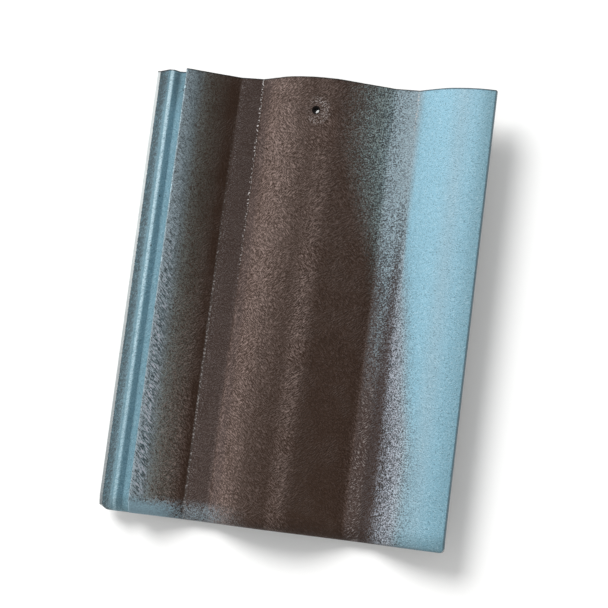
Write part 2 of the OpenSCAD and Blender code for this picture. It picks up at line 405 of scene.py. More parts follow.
def nose_point(s, part):
    """Distance from the tail and depth of the nose's round, from the top face at 0 to the tail at 1."""
    turn = s.nose_start + (math.pi / 2 - s.nose_start) * part
    y = s.nose * (1 - math.sin(turn)) / (1 - math.sin(s.nose_start))
    return y, s.nose_drop * (1 - math.cos(turn) / math.cos(s.nose_start))


def nose_part(s, depth):
    """Part of the nose's round at which it is that deep."""
    turn = math.acos(math.cos(s.nose_start) * (1 - depth / s.nose_drop))
    return (turn - s.nose_start) / (math.pi / 2 - s.nose_start)


def row_places(s, nose_rows=9):
    """Distances from the tail of the mesh's rows: close on the nose, even after it."""
    nose = [nose_point(s, 1 - i / nose_rows)[0] for i in range(nose_rows + 1)]
    rows = math.ceil((s.run - s.nose) / s.top_mesh)
    return nose + [s.nose + (s.run - s.nose) * (i + 1) / rows for i in range(rows)]


def side_share(wave, co):
    """1 on the top face, falling to 0 at the foot of either side face."""
    s = wave.sizes
    if co.x > wave.cover_lip_end - NEAR:
        return min(1, (co.z - wave.cover_lip_foot) / (wave.cover_edge - s.arris - wave.cover_lip_foot))
    if co.x < NEAR:
        return (co.z - wave.lock_under) / (s.lip_height - s.soft_edge)
    return 1


def lock_height(wave, x):
    """Height of the water lock's top face at x."""
    corners = wave.weather_face()[1:8]
    for a, b in zip(corners, corners[1:]):
        if x <= b[0]:
            return a[1] + (b[1] - a[1]) * (x - a[0]) / (b[0] - a[0])
    return wave.sizes.roll


def shape_nose(bm, wave, weather):
    """Lowers the top face along the nose. Where the shell is thin the nose runs out before the tail."""
    s = wave.sizes
    parts = {}
    for vert in bm.verts:
        y = vert.co.y
        if y > s.nose - NEAR:
            continue
        key = round(y, 7)
        if key not in parts:
            sine = 1 - y * (1 - math.sin(s.nose_start)) / s.nose
            turn = math.asin(min(1, sine))
            parts[key] = (turn - s.nose_start) / (math.pi / 2 - s.nose_start)
        room = lock_height(wave, vert.co.x) - wave.lock_under - s.nose_edge
        end = nose_part(s, min(room, s.nose_drop))
        y, depth = nose_point(s, parts[key] * end)
        vert.co.y = y
        vert.co.z -= depth * vert[weather]


def close_end(bm, ring):
    """Closes an end of the run with flat faces."""
    face = bmesh.ops.contextual_create(bm, geom=ring)["faces"]
    bmesh.ops.triangulate(bm, faces=face, quad_method="BEAUTY", ngon_method="BEAUTY")


def relief(wave, co):
    """Depth of the grain, the long unevenness and the nail hole's dimple below the plain top face."""
    s = wave.sizes
    calm = min(1, 0.25 + co.y / (4 * s.nose)) * min(1, 0.4 + co.x / (3 * s.lock))
    fall_off, finer, layers = 0.9, 2.1, 2
    grain = noise.fractal(co / GRAIN_SIZE, fall_off, finer, layers)
    swell = noise.noise(co / LONG_SWELL) + 0.5 * noise.noise(co / SHORT_SWELL)
    from_nail = math.hypot(co.x - wave.nail[0], co.y - wave.nail[1])
    dimple = s.dimple * math.exp(-(from_nail / (2 * s.sink_radius)) ** 2)
    return s.grain * calm * (0.5 + 0.5 * grain) + s.swell * calm * (0.5 + 0.33 * swell) + dimple


def sink_relief(bm, wave, weather):
    """Sinks the top face by its relief, inwards only."""
    bm.normal_update()
    for vert in bm.verts:
        if vert[weather]:
            vert.co -= vert.normal * max(0, relief(wave, vert.co)) * min(1, vert[weather])


def shell_mesh(wave):
    """Bmesh of the shell: the section, run from tail to head row by row, with its nose and relief."""
    s = wave.sizes
    bm = bmesh.new()
    weather = bm.verts.layers.float.new("weather")
    for vert in add_chain(bm, wave.weather_face(), s.top_mesh):
        vert[weather] = side_share(wave, vert.co)
    add_chain(bm, wave.underside(), s.under_mesh)
    bmesh.ops.remove_doubles(bm, verts=bm.verts, dist=WELD)
    places = row_places(s)
    tail = ring = bm.edges[:]
    for here, there in zip(places, places[1:]):
        made = bmesh.ops.extrude_edge_only(bm, edges=ring)["geom"]
        ring = [item for item in made if isinstance(item, bmesh.types.BMEdge)]
        verts = [item for item in made if isinstance(item, bmesh.types.BMVert)]
        bmesh.ops.translate(bm, verts=verts, vec=(0, there - here, 0))
    shape_nose(bm, wave, weather)
    for face in bm.faces:
        face.material_index = COAT if any(vert[weather] > 0 for vert in face.verts) else BARE
    coated = set(bm.faces)
    for end in (tail, ring):
        close_end(bm, end)
    for face in bm.faces:
        if face not in coated:
            face.material_index = BARE
    bmesh.ops.recalc_face_normals(bm, faces=bm.faces)
    sink_relief(bm, wave, weather)
    return bm


def edges_of(bm, verts):
    """Edges of a bmesh that meet any of the vertices."""
    verts = set(verts)
    return [edge for edge in bm.edges if verts.intersection(edge.verts)]


def add_prism(bm, outline, vec):
    """Makes a solid of a flat outline of edges by moving a copy of it along a vector."""
    face = bmesh.ops.contextual_create(bm, geom=outline)["faces"]
    made = bmesh.ops.extrude_face_region(bm, geom=face, use_keep_orig=True)["geom"]
    moved = [item for item in made if isinstance(item, bmesh.types.BMVert)]
    bmesh.ops.translate(bm, verts=moved, vec=vec)


def add_nib(bm, wave, pan):
    """Adds a hanging nib under a pan's middle, square towards the tail and drafted on its other sides."""
    s = wave.sizes
    bite = 2 * s.soft_edge
    verts = bmesh.ops.create_cube(bm, size=1)["verts"]
    bmesh.ops.scale(bm, verts=verts, vec=(s.nib, s.nib_run, s.nib_height + bite))
    face_y = s.run - s.nib_from_head - s.nib_run
    middle = Vector((pan, face_y + s.nib_run / 2, bite - s.shell - (s.nib_height + bite) / 2))
    bmesh.ops.translate(bm, verts=verts, vec=middle)
    feet = [vert for vert in verts if vert.co.z < middle.z]
    shrink = (1 - 2 * s.nib_draft / s.nib, 1 - s.nib_draft / s.nib_run, 1)
    bmesh.ops.scale(bm, verts=feet, vec=shrink, space=Matrix.Translation((-pan, -face_y, 0)))
    bmesh.ops.bevel(
        bm, geom=edges_of(bm, verts), affect="EDGES", offset=s.soft_edge, segments=2, profile=0.5,
        material=-1,
    )


def add_bar(bm, wave, place):
    """Adds a weather bar that follows the wave across the underside."""
    s = wave.sizes
    root = wave.corners(s.lock + BITE, s.shell - BITE)
    edge = wave.corners(s.lock + BITE, s.shell + s.bar_depth)
    ends = [
        (s.width, wave.cover_roof(s.width, s.shell - BITE), 0),
        (s.width, wave.cover_roof(s.width, s.shell + s.bar_depth), 0),
    ]
    outline = [*root, *ends, *reversed(edge)]
    old_faces = set(bm.faces)
    chain = add_chain(bm, [*outline, outline[0]], s.under_mesh)
    bmesh.ops.remove_doubles(bm, verts=list(chain), dist=WELD)
    chain = [vert for vert in chain if vert.is_valid]
    bmesh.ops.translate(bm, verts=chain, vec=(0, place, 0))
    add_prism(bm, edges_of(bm, chain), (0, s.bar, 0))
    geom = {item for face in bm.faces if face not in old_faces for item in (face, *face.edges, *face.verts)}
    cut = bmesh.ops.bisect_plane(
        bm, geom=list(geom), plane_co=(wave.cover - s.cover_gap, 0, 0), plane_no=(1, 0, 0), clear_outer=True
    )
    rim = [item for item in cut["geom_cut"] if isinstance(item, bmesh.types.BMEdge)]
    bmesh.ops.contextual_create(bm, geom=rim)


def rib_mesh(wave):
    """Bmesh of what stands out from the underside: nibs and weather bars."""
    s = wave.sizes
    bm = bmesh.new()
    for i in range(s.bars):
        add_bar(bm, wave, s.bar_from_tail + i * s.bar_pitch)
    for i in range(2):
        add_nib(bm, wave, wave.first_pan + s.pan / 2 + i * wave.pitch)
    return bm


def cutter_mesh(wave):
    """Bmesh of what is cut away: the nail hole with its countersink, and the round of the tail corner."""
    s = wave.sizes
    bm = bmesh.new()
    flare = (s.sink_radius - s.nail_radius) / s.sink_depth
    profile = [
        (0, -2 * s.shell),
        (s.nail_radius, -2 * s.shell),
        (s.nail_radius, -s.sink_depth - s.dimple),
        (s.sink_radius + flare * s.sink_depth, s.sink_depth - s.dimple),
        (0, s.sink_depth - s.dimple),
    ]
    verts = [bm.verts.new((x, 0, z)) for x, z in profile]
    edges = [bm.edges.new(pair) for pair in zip(verts, verts[1:])]
    bmesh.ops.spin(
        bm, geom=verts + edges, cent=(0, 0, 0), axis=(0, 0, 1), angle=2 * math.pi,
        steps=HOLE_STEPS, use_merge=True,
    )
    bmesh.ops.remove_doubles(bm, verts=bm.verts, dist=WELD)
    bmesh.ops.translate(bm, verts=bm.verts, vec=wave.nail)
    corner = [
        (s.width - s.tail_corner, -BITE),
        (s.width + BITE, -BITE),
        (s.width + BITE, s.tail_corner),
        (s.width, s.tail_corner),
        (s.width, 0),
        (s.width - s.tail_corner, 0),
    ]
    verts = [bm.verts.new((x, y, -s.shell)) for x, y in corner]
    for pair in zip(verts, verts[1:] + verts[:1]):
        bm.edges.new(pair)
    old_verts = set(bm.verts) - set(verts)
    round_corner(bm, verts[corner.index((s.width, 0))], s.tail_corner, s.top_mesh / 2)
    outline = [vert for vert in bm.verts if vert not in old_verts]
    add_prism(bm, edges_of(bm, outline), (0, 0, s.shell + 2 * s.roll))
    return bm


def add_object(name, bm, materials=()):
    """Makes an object of a bmesh."""
    mesh = bpy.data.meshes.new(name)
    bmesh.ops.recalc_face_normals(bm, faces=bm.faces)
    bm.to_mesh(mesh)
    bm.free()
    for material in materials:
        mesh.materials.append(material)
    made = bpy.data.objects.new(name, mesh)
    bpy.context.scene.collection.objects.link(made)
    return made


def combine(target, tool, operation):
    """Joins a tool object to the target, or cuts the target with it, and removes the tool."""
    step = target.modifiers.new(operation.lower(), "BOOLEAN")
    step.operation = operation
    step.object = tool
    step.solver = "EXACT"
    step.material_mode = "INDEX"
    depsgraph = bpy.context.evaluated_depsgraph_get()
    target.data = bpy.data.meshes.new_from_object(target.evaluated_get(depsgraph))
    target.modifiers.clear()
    bpy.data.objects.remove(tool)


def lay(wave):
    """Matrix that takes the tile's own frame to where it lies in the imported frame, from its nail hole."""
    s = wave.sizes
    mount = MOUNTS["nail_hole"]
    tilt = math.atan2(-mount["axis"][1], mount["axis"][2])
    x, y, top = wave.nail
    bottom = wave.crest_height(s.nail_from_crest, s.shell)
    middle = Vector((x, y, (top - s.sink_depth + bottom) / 2))
    return Matrix.Translation(mount["pos_m"]) @ Matrix.Rotation(tilt, 4, "X") @ Matrix.Translation(-middle)


# Shader maths

class Signal:
    """An output of a shader node, on which Python's operators add Math nodes."""

    def __init__(self, tree, socket):
        self.tree = tree
        self.socket = socket

    def node(self, kind, settings=None, inputs=None, output=0):
        """Adds a node: settings first, then its sockets' values or links. Returns one of its outputs."""
        made = self.tree.nodes.new(kind)
        for name, value in (settings or {}).items():
            if name == "stops":
                set_stops(made.color_ramp, value)
            else:
                setattr(made, name, value)
        for name, value in (inputs or {}).items():
            if isinstance(value, Signal):
                self.tree.links.new(value.socket, made.inputs[name])
            else:
                made.inputs[name].default_value = value
        return Signal(self.tree, made.outputs[output])

    def math(self, operation, *values, clamp=False):
        """Adds a Math node."""
        settings = {"operation": operation, "use_clamp": clamp}
        return self.node("ShaderNodeMath", settings, dict(enumerate(values)))

    def __add__(self, other):
        return self.math("ADD", self, other)

    def __radd__(self, other):
        return self.math("ADD", other, self)

    def __sub__(self, other):
        return self.math("SUBTRACT", self, other)

    def __rsub__(self, other):
        return self.math("SUBTRACT", other, self)

    def __mul__(self, other):
        return self.math("MULTIPLY", self, other)

    def __rmul__(self, other):
        return self.math("MULTIPLY", other, self)

    def __truediv__(self, other):
        return self.math("DIVIDE", self, other)

    def __rtruediv__(self, other):
        return self.math("DIVIDE", other, self)

    def over(self, other):
        """The greater of two values."""
        return self.math("MAXIMUM", self, other)

    def within(self):
        """The value kept from 0 to 1."""
        return self.math("ADD", self, 0, clamp=True)

    def rise(self, low, high):
        """0 below low, 1 above high, and smooth between them. A low above high falls instead."""
        inputs = {"Value": self, "From Min": low, "From Max": high}
        return self.node("ShaderNodeMapRange", {"interpolation_type": "SMOOTHSTEP"}, inputs)

    def band(self, low, high, soft):
        """1 between low and high, with edges that soft."""
        return self.rise(low - soft, low + soft) * self.rise(high + soft, high - soft)

    def mix(self, first, second):
        """The first colour where this is 0 and the second where it is 1."""
        inputs = {0: self, 6: rgba(first), 7: rgba(second)}
        return self.node("ShaderNodeMix", {"data_type": "RGBA"}, inputs, 2)

    def noise(self, size, detail=2.0, roughness=0.5, distortion=0.0):
        """Noise over this position, with features of about that size."""
        inputs = {
            "Vector": self, "Scale": 1 / size, "Detail": detail,
            "Roughness": roughness, "Distortion": distortion,
        }
        return self.node("ShaderNodeTexNoise", {"normalize": True}, inputs)

    def brushed(self, turn, length, width):
        """Noise over this position in strokes of a length and width, turned from X by that many degrees."""
        rotation = (0, 0, math.radians(turn))
        inputs = {"Vector": self, "Rotation": rotation, "Scale": (length, width, STROKE_HEIGHT * length)}
        strokes = self.node("ShaderNodeMapping", {"vector_type": "TEXTURE"}, inputs)
        return strokes.noise(1, detail=1.0, distortion=0.3)

    def cells(self, size, output=0):
        """Distance from, or colour of, scattered points over this position, about that far apart."""
        return self.node("ShaderNodeTexVoronoi", {}, {"Vector": self, "Scale": 1 / size}, output)

    def grains(self, size):
        """Grains of about that size over this position, each with a chance level of its own."""
        return self.node("ShaderNodeRGBToBW", {}, {0: self.cells(size, "Color")})

    def axes(self):
        """The three parts of this position."""
        split = self.node("ShaderNodeSeparateXYZ", {}, {0: self}).socket.node
        return [Signal(self.tree, split.outputs[i]) for i in range(3)]


def set_stops(ramp, stops):
    """Sets a ramp's stops, each a place and a grey level."""
    while len(ramp.elements) < len(stops):
        ramp.elements.new(1)
    for element, (place, level) in zip(ramp.elements, stops):
        element.position = place
        element.color = (level, level, level, 1)


def across(x, feature, stops):
    """A value that changes across the tile: stops of a distance past a feature's place and a level."""
    start, end = stops[0][0], stops[-1][0]
    shares = [((place - start) / (end - start), level) for place, level in stops]
    return x.node("ShaderNodeValToRGB", {"stops": shares}, {0: (x - (feature + start)) / (end - start)})


def rgba(value):
    """A colour property as a socket's value. A signal stays as it is."""
    return value if isinstance(value, Signal) else (*value, 1)


def new_material(name, shader_values):
    """A material with constants on its shader's sockets. Returns material, position and shader."""
    material = bpy.data.materials.new(name)
    material.use_nodes = True
    tree = material.node_tree
    shader = tree.nodes["Principled BSDF"]
    for socket, value in shader_values.items():
        shader.inputs[socket].default_value = value
    place = tree.nodes.new("ShaderNodeTexCoord").outputs["Object"]
    return material, Signal(tree, place), shader


def link(shader, **signals):
    """Links signals to a shader's sockets; an underscore stands for a space."""
    for socket, signal in signals.items():
        signal.tree.links.new(signal.socket, shader.inputs[socket.replace("_", " ")])


def tile_place(position, wave):
    """Position in the tile's own frame, in millimetres."""
    back = lay(wave).inverted()
    inputs = {
        "Vector": position,
        "Location": back.translation / MM,
        "Rotation": back.to_euler(),
        "Scale": (1 / MM,) * 3,
    }
    return position.node("ShaderNodeMapping", {"vector_type": "POINT"}, inputs)


# Finishes

class Face:
    """A point of the tile in its own millimetres, the places of its features, and the coat's grain."""

    def __init__(self, position, wave):
        s = wave.sizes
        self.place = tile_place(position, wave)
        self.x, self.y, _ = self.place.axes()
        self.head, self.edge, self.nose = s.run / MM, s.width / MM, s.nose / MM
        self.headward = self.y / self.head
        self.lip, self.ridge, self.step = s.lip / MM, s.ridge_place / MM, s.lock / MM
        self.groove, self.groove_end = wave.groove_start / MM, wave.step_foot / MM
        self.first_pan, self.first_roll = wave.first_pan / MM, wave.first_roll / MM
        self.second_pan, self.last_roll = (wave.first_roll + wave.roll_width) / MM, wave.last_roll / MM
        self.nail_x, self.nail_y = wave.nail[0] / MM, wave.nail[1] / MM
        self.sink = s.sink_radius / MM

    def add_grain(self):
        """Adds the patterns that the coat's colours and relief share."""
        place = self.place
        self.speck = place.noise(1.0, detail=0.0)
        self.mottle = place.noise(14, detail=3.0, roughness=0.6)
        self.long_stroke = place.brushed(-48, 4.5, 0.95)
        short = place.brushed(-45, 3, 0.85)
        self.climb = place.brushed(42, 3, 0.85)
        turned = place.noise(30, detail=1.0).rise(0.42, 0.58)
        self.stroke = short + (self.climb - short) * turned
        self.beads = place.noise(1.7, detail=0.0).rise(0.54, 0.68)
        self.pits = place.cells(13).rise(0.06, 0.04) * self.x.rise(self.step + 5.5, self.step - 0.5)
        self.rough = 1.6 * (place.grains(1.2) - 0.5) + 2.8 * (self.speck - 0.5)

    def strip(self, feature, low, high, soft):
        """1 on a strip along the tile, from low to high past a feature's place, with edges that soft."""
        return self.x.band(feature + low, feature + high, soft)

    def nail_distance(self):
        """Distance from the nail hole's middle."""
        off_x, off_y = self.x - self.nail_x, self.y - self.nail_y
        square = off_x * off_x + off_y * off_y
        return square.math("POWER", square, 0.5)


def spray_cover(face):
    """Share of the top face that the blue spray covers towards the cover edge. It settles in the pan."""
    x, y = face.x, face.y
    past = x - (face.last_roll + 16) + 35 * y.rise(80, 390)
    start = -28 - 26 * y.rise(220, 390)
    end = 27 + 13 * y.rise(300, 400) + 12 * y.rise(150, 60)
    settled = 0.1 * face.strip(face.second_pan, 2, 13, 3) * y.band(150, 210, 40)
    crease = 0.65 * face.strip(face.last_roll, -6, 3, 4) * y.rise(370, 240)
    return ((past.rise(start, end) + settled) * (1 - crease)).within()


def haze_cover(face):
    """Shares of the top face under the grey haze: beside the step, and along the nose near the lock."""
    step = across(face.x, face.step, [(0.5, 0.75), (6.5, 0.64), (12.5, 0.27), (18.5, 0.07), (25.5, 0.0)])
    stops = [(-48, 0.95), (-19, 0.88), (-4, 0.36), (7, 0.5), (23, 0.48), (41, 0.12), (67, 0.0)]
    nose = across(face.x, face.first_pan, stops)
    return step * (1.2 - 0.4 * face.headward), nose * face.y.rise(face.nose + 7, face.nose - 8)


def dust_cover(face):
    """Share of the half roll under thin green-grey dust, beyond the haze."""
    dust = across(face.x, face.step, [(0.5, 0.5), (12.5, 0.42), (23.5, 0.24), (41.5, 0.0)])
    return dust * (1 - 0.5 * face.headward)


def brown_tone(face):
    """How light the brown ground is: lightest on the middle roll's steep flank, dark on shallow ones. The
    steep flank's lightness is partly the coat's own tone and partly painted sheen.
    """
    x, y = face.x, face.y
    tailward = y.rise(330, 40)
    # The half roll darkens towards the first pan's crease: painted shade
    half_roll = x.rise(face.first_pan, face.first_pan - 15) * (0.02 + 0.38 * tailward)
    left_pan = x.band(face.first_pan + 0.5, face.first_roll - 0.5, 0.8) * (0.02 + 0.16 * tailward)
    right_pan = face.strip(face.second_pan, -2, 13, 4) * (0.02 + 0.26 * tailward)
    right_pan = right_pan * y.rise(0, face.nose + 10)
    # The middle roll is lightest on its steep flank, partly as painted sheen
    head_stops = [(0, 0.0), (3, 0.5), (21, 0.97), (37, 0.66), (53, 0.32), (115, 0.26), (131, 0.0)]
    tail_stops = [(-3, 0.0), (2, 0.86), (17, 0.7), (37, 0.2), (53, 0.12), (117, 0.14), (131, 0.06)]
    at_head = across(x, face.first_roll, head_stops)
    at_tail = across(x, face.first_roll, tail_stops)
    # A lighter band along the middle roll's crest: partly overspray, partly painted sheen
    crest = (0.1 + 0.2 * y.rise(330, 200)) * face.strip(face.first_roll, 62, 77, 6)
    middle_roll = crest + at_head + (at_tail - at_head) * tailward
    head_shade = 1 - 0.15 * y.rise(face.head - 50, face.head - 20)
    return half_roll + left_pan + right_pan + middle_roll * head_shade


def brown_coat(face, finish):
    """The brown ground with its grain, and a purple bloom in the pans and at the foot of the steep flank that
    is partly painted sheen. The grain's brightest strokes are partly painted glints.
    """
    x, y = face.x, face.y
    grain = 1.6 * (face.speck - 0.5) + 0.35 * (face.mottle - 0.5)
    # The strokes' brightest parts are partly painted glints on the relief, partly the coat's grain
    grain = grain + 1.4 * (face.stroke - 0.5) + 0.7 * (face.stroke.rise(0.5, 0.68) - 0.22)
    tone = brown_tone(face)
    crease = face.strip(face.first_pan, -21, -1, 5) * y.rise(330, 120)
    tone = tone + grain * (0.1 + 0.12 * crease + 1.7 * tone)
    brown = (tone / FULL_TONE).mix(finish.dark_brown, finish.bright_brown)
    pans = x.band(face.first_pan + 0.5, face.first_roll, 1)
    pans = pans + x.band(face.second_pan + 1, face.last_roll + 1, 1)
    # The bloom is partly the coat's own purple bloom, partly painted sheen
    bloom = 0.25 * pans + 0.3 * face.strip(face.first_roll, 1, 11, 4)
    brown = bloom.mix(brown, finish.purple_brown)
    warm = face.strip(face.second_pan, -47, -3, 8) * (0.25 + 0.3 * y.rise(300, 100))
    return warm.mix(brown, finish.warm_brown)


def hazy_coat(face, finish):
    """The brown ground under its dust and haze, with leathery strokes beside the step: lilac painted
    highlights on the wrinkles, with slate between them.
    """
    x, y = face.x, face.y
    dust = dust_cover(face) * (1 + face.rough)
    ground = dust.mix(brown_coat(face, finish), finish.sage)
    ground = (0.6 * x.rise(face.step + 19.5, face.step + 7.5)).mix(ground, finish.slate)
    streak = 0.7 * face.rough + 5.0 * (face.long_stroke - 0.5) * (1.3 - face.headward)
    step_haze, nose_haze = haze_cover(face)
    haze = (step_haze * (1 + streak)).over(nose_haze + 2 * nose_haze * (1 - nose_haze) * face.rough)
    near_lock = x.rise(face.first_pan + 7, face.first_pan - 23)
    tint = y.rise(face.nose + 4, face.nose - 5) * near_lock * 0.5
    ground = haze.mix(ground, tint.mix(finish.haze, finish.deep_blue))
    leather = face.strip(face.step, 2.5, 11.5, 4) * y.rise(340, 120)
    leather = leather * y.rise(face.nose, face.nose + 10)
    # Lilac strokes: painted highlights on the wrinkles beside the step
    ground = (0.85 * leather * face.long_stroke.rise(0.52, 0.68)).mix(ground, finish.lilac)
    return (0.8 * leather * face.long_stroke.rise(0.48, 0.36)).mix(ground, finish.slate)


def spray_colour(face, cover, in_lock, finish):
    """Colour of the spray: blue, greyer where it is thin and dry, duller along the edges and in the lock. Its
    pale and dull strokes are partly painted highlight and shade on its relief.
    """
    x, y, speck, stroke = face.x, face.y, face.speck, face.stroke
    depth = face.headward + 0.6 * (face.mottle - 0.5) + 0.8 * (speck - 0.5)
    blue = depth.mix(finish.deep_blue, finish.blue)
    thin = cover.rise(0.97, 0.6).over(x.rise(face.last_roll + 9, face.last_roll - 1))
    thin = thin * x.rise(face.first_roll - 5, face.first_roll - 4)
    dry = face.strip(face.last_roll, 39, 53, 8) * 0.35 + thin
    blue = dry.mix(blue, finish.pale_blue)
    dull = x.rise(face.edge - 22, face.edge) * (0.15 + 0.6 * face.headward) + 0.55 * in_lock
    dull = dull + 0.4 * y.rise(face.nose + 4, face.nose - 5)
    blue = dull.mix(blue, finish.dull_blue)
    green = cover.rise(0.75, 0.35) * face.strip(face.second_pan, -43, 1, 6) * 0.9
    blue = green.mix(blue, finish.sage)
    pink = cover.rise(0.85, 0.4) * face.strip(face.last_roll, -5, 30, 6) * y.rise(300, 180) * 0.8
    blue = pink.mix(blue, finish.lilac)
    # Pale grains and strokes, then dull strokes: partly the spray's grain, partly painted highlight and shade
    # on its relief
    blue = (0.3 * speck.rise(0.6, 0.8)).over(0.32 * stroke.rise(0.52, 0.7)).mix(blue, finish.ridge_blue)
    blue = (0.45 * stroke.rise(0.47, 0.3)).mix(blue, finish.dull_blue)
    return (0.45 * speck.rise(0.4, 0.2)).mix(blue, finish.slate)


def lock_coat(face, under, finish):
    """The water lock's colours over the spray: slate on its outer slope, a pale ridge and a bare lip. The
    pale ridge top and the step's arris are partly pale rubbed coat and partly painted highlight.
    """
    x, y, rough = face.x, face.y, face.rough
    strokes = face.climb - 0.5
    slate = across(x, face.lip, [(0, 0.94), (6, 0.9), (9, 0.7), (12, 0.36), (15, 0.0)])
    whole = 0.2 * x.rise(face.step - 0.5, face.step - 1.5)
    fall = 0.3 * face.strip(face.groove, -3, 2, 2)
    head = y.rise(face.head - 50, face.head - 8) * (whole + fall)
    foot = 0.3 * x.band(face.groove_end - 2, face.step - 0.1, 1.5)
    slate = slate * (1 + 0.35 * rough + 1.8 * strokes) + (head + foot) * (1 + 0.5 * rough)
    under = slate.mix(under, finish.slate)
    # The ridge's top: partly pale rubbed coat, partly painted highlight
    crown = face.strip(face.ridge, -0.9, 2.1, 0.8) * (0.3 + 0.7 * face.headward)
    crown = crown + 0.12 * x.band(face.ridge + 3, face.groove, 1)
    # The step's arris: rubbed coat with a painted highlight along it
    arris_wear_and_highlight = face.strip(face.step, 0, 1.3, 0.4) * (0.2 + 0.8 * face.beads) * (0.1 + 0.9 * y.rise(90, 390))
    pale = (crown + arris_wear_and_highlight) * (1 + 0.6 * rough + 2.5 * strokes)
    under = pale.mix(under, finish.ridge_blue)
    lip = (y / 300).mix(finish.concrete, finish.pale_concrete)
    return (x + 0.3 * rough).rise(face.lip + 0.4, face.lip - 0.4).mix(under, lip)


def glint_cover(face):
    """Share of painted glints on grains that stand up: along the creases, in the pans and round the nail
    hole.
    """
    x, y, speck = face.x, face.y, face.speck
    right_crease = face.strip(face.first_roll, -0.8, 1, 0.6) * y.rise(180, 330)
    last_crease = face.strip(face.last_roll, -1, 0.5, 0.6)
    last_crease = last_crease * y.rise(face.head - 50, face.head - 20)
    left_crease = face.strip(face.first_pan, -1.5, 0.3, 0.7) * y.rise(face.head + 10, 120)
    left_crease = left_crease * (0.08 + 0.4 * face.beads)
    pan_stroke = face.strip(face.second_pan, 3, 14, 3) * y.rise(280, 80)
    pan_stroke = 0.3 * face.stroke.rise(0.54, 0.7) * pan_stroke
    first_pan = x.band(face.first_pan + 1, face.first_roll - 1, 1) * 0.06
    pan_speck = speck.rise(0.56, 0.72) * (face.strip(face.first_pan, 1, 5, 2) * 0.1 + first_pan)
    ring = face.nail_distance().band(face.sink + 1, face.sink + 8, 3) * speck.rise(0.5, 0.72)
    ring = ring * (x - face.nail_x).rise(-11, 3) * 0.4
    creases = (face.beads * (right_crease + last_crease)).over(left_crease)
    return creases.over(ring).over(pan_speck).over(pan_stroke)


def coat_material(wave, finish):
    """Granular colour coat: dark brown with bloom and painted sheen in the pans, sprayed with blue towards
    both edges, with painted glints, highlights and shade.
    """
    material, position, shader = new_material(
        "colour_coat", {"IOR": 1.5, "Specular IOR Level": COAT_SHEEN}
    )
    face = Face(position, wave)
    face.add_grain()
    x, y, speck = face.x, face.y, face.speck

    in_lock = x.rise(face.step - 0.1, face.step - 0.9)
    cover = spray_cover(face)
    spray = (cover + 3 * cover * (1 - cover) * face.rough).over(in_lock)
    ground = (0.55 * cover.rise(0.02, 0.5)).mix(hazy_coat(face, finish), finish.slate)
    coat = spray.mix(ground, spray_colour(face, cover, in_lock, finish))
    coat = lock_coat(face, coat, finish)
    # Dark along the cover edge: painted shade of the edge; dark specks along the tail's edge towards the
    # cover edge
    tail_edge = x.rise(face.last_roll - 15, face.last_roll + 45) * y.rise(2.5, 0.8) * speck.rise(0.48, 0.56)
    brink = x.rise(face.edge - 1.6, face.edge - 0.4).over(tail_edge)
    coat = (0.65 * brink).mix(coat, finish.slate)
    # Painted glints on standing grains
    coat = glint_cover(face).mix(coat, finish.glint)
    dark = (0.8 * y.rise(face.head - 1.8, face.head - 0.6)).over(0.85 * face.pits)
    coat = dark.mix(coat, finish.crease_brown)

    height = face.stroke * 1.6 * (1.1 - cover) + speck * 0.7 + face.pits * -2
    bump = height.node("ShaderNodeBump", {}, {"Strength": 1.0, "Distance": COAT_BUMP, "Height": height})
    roughness = finish.roughness + 0.25 * (face.mottle - 0.5) + 0.15 * (speck - 0.5)
    link(shader, Base_Color=coat, Roughness=roughness.within(), Normal=bump)
    return material


def bare_material(wave, finish):
    """Bare concrete of the underside and the cut ends: sandy grey with pores."""
    material, position, shader = new_material("bare_concrete", {"Specular IOR Level": BARE_SHEEN})
    face = Face(position, wave)
    cloud = face.place.noise(28, detail=4.0, roughness=0.6)
    sand = face.place.noise(1.1, detail=3.0, roughness=0.7)
    pores = face.place.cells(4.5).rise(0.14, 0.24)
    grey = (0.35 + 0.9 * (cloud - 0.5)).mix(finish.concrete, finish.pale_concrete)
    grey = sand.rise(0.5, 0.72).mix(grey, finish.sand)
    grey = (pores * 0.75 + 0.25).mix(finish.dark_brown, grey)
    # Darker in the nail hole: painted shade of the hole
    hole = face.nail_distance().rise(face.sink + 2.5, face.sink + 1.5)
    grey = hole.mix(grey, finish.crease_brown)
    height = sand * 0.6 + pores * 0.6
    bump = height.node("ShaderNodeBump", {}, {"Strength": 0.6, "Distance": BARE_BUMP, "Height": height})
    roughness = 0.82 + 0.2 * (sand - 0.5)
    link(shader, Base_Color=grey, Roughness=roughness.within(), Normal=bump)
    return material


# Operators and panel

class MakeTile(bpy.types.Operator):
    """Model the tile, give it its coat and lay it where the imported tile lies"""

    bl_idname = "object.make_roof_tile"
    bl_label = "Make roof tile"

    def execute(self, context):
        wave = Wave(context.scene.tile_sizes)
        finish = context.scene.tile_finish
        materials = (coat_material(wave, finish), bare_material(wave, finish))
        tile = add_object("coated_tile", shell_mesh(wave), materials)
        for make, operation in ((rib_mesh, "UNION"), (cutter_mesh, "DIFFERENCE")):
            bm = make(wave)
            for face in bm.faces:
                face.material_index = BARE
            combine(tile, add_object("tool", bm, materials), operation)
        tile.data.transform(lay(wave))
        tile.data.shade_smooth()
        tile.data.set_sharp_from_angle(angle=SHARP_ANGLE)
        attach(tile, "root")
        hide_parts(TILE_NODE)
        return {"FINISHED"}


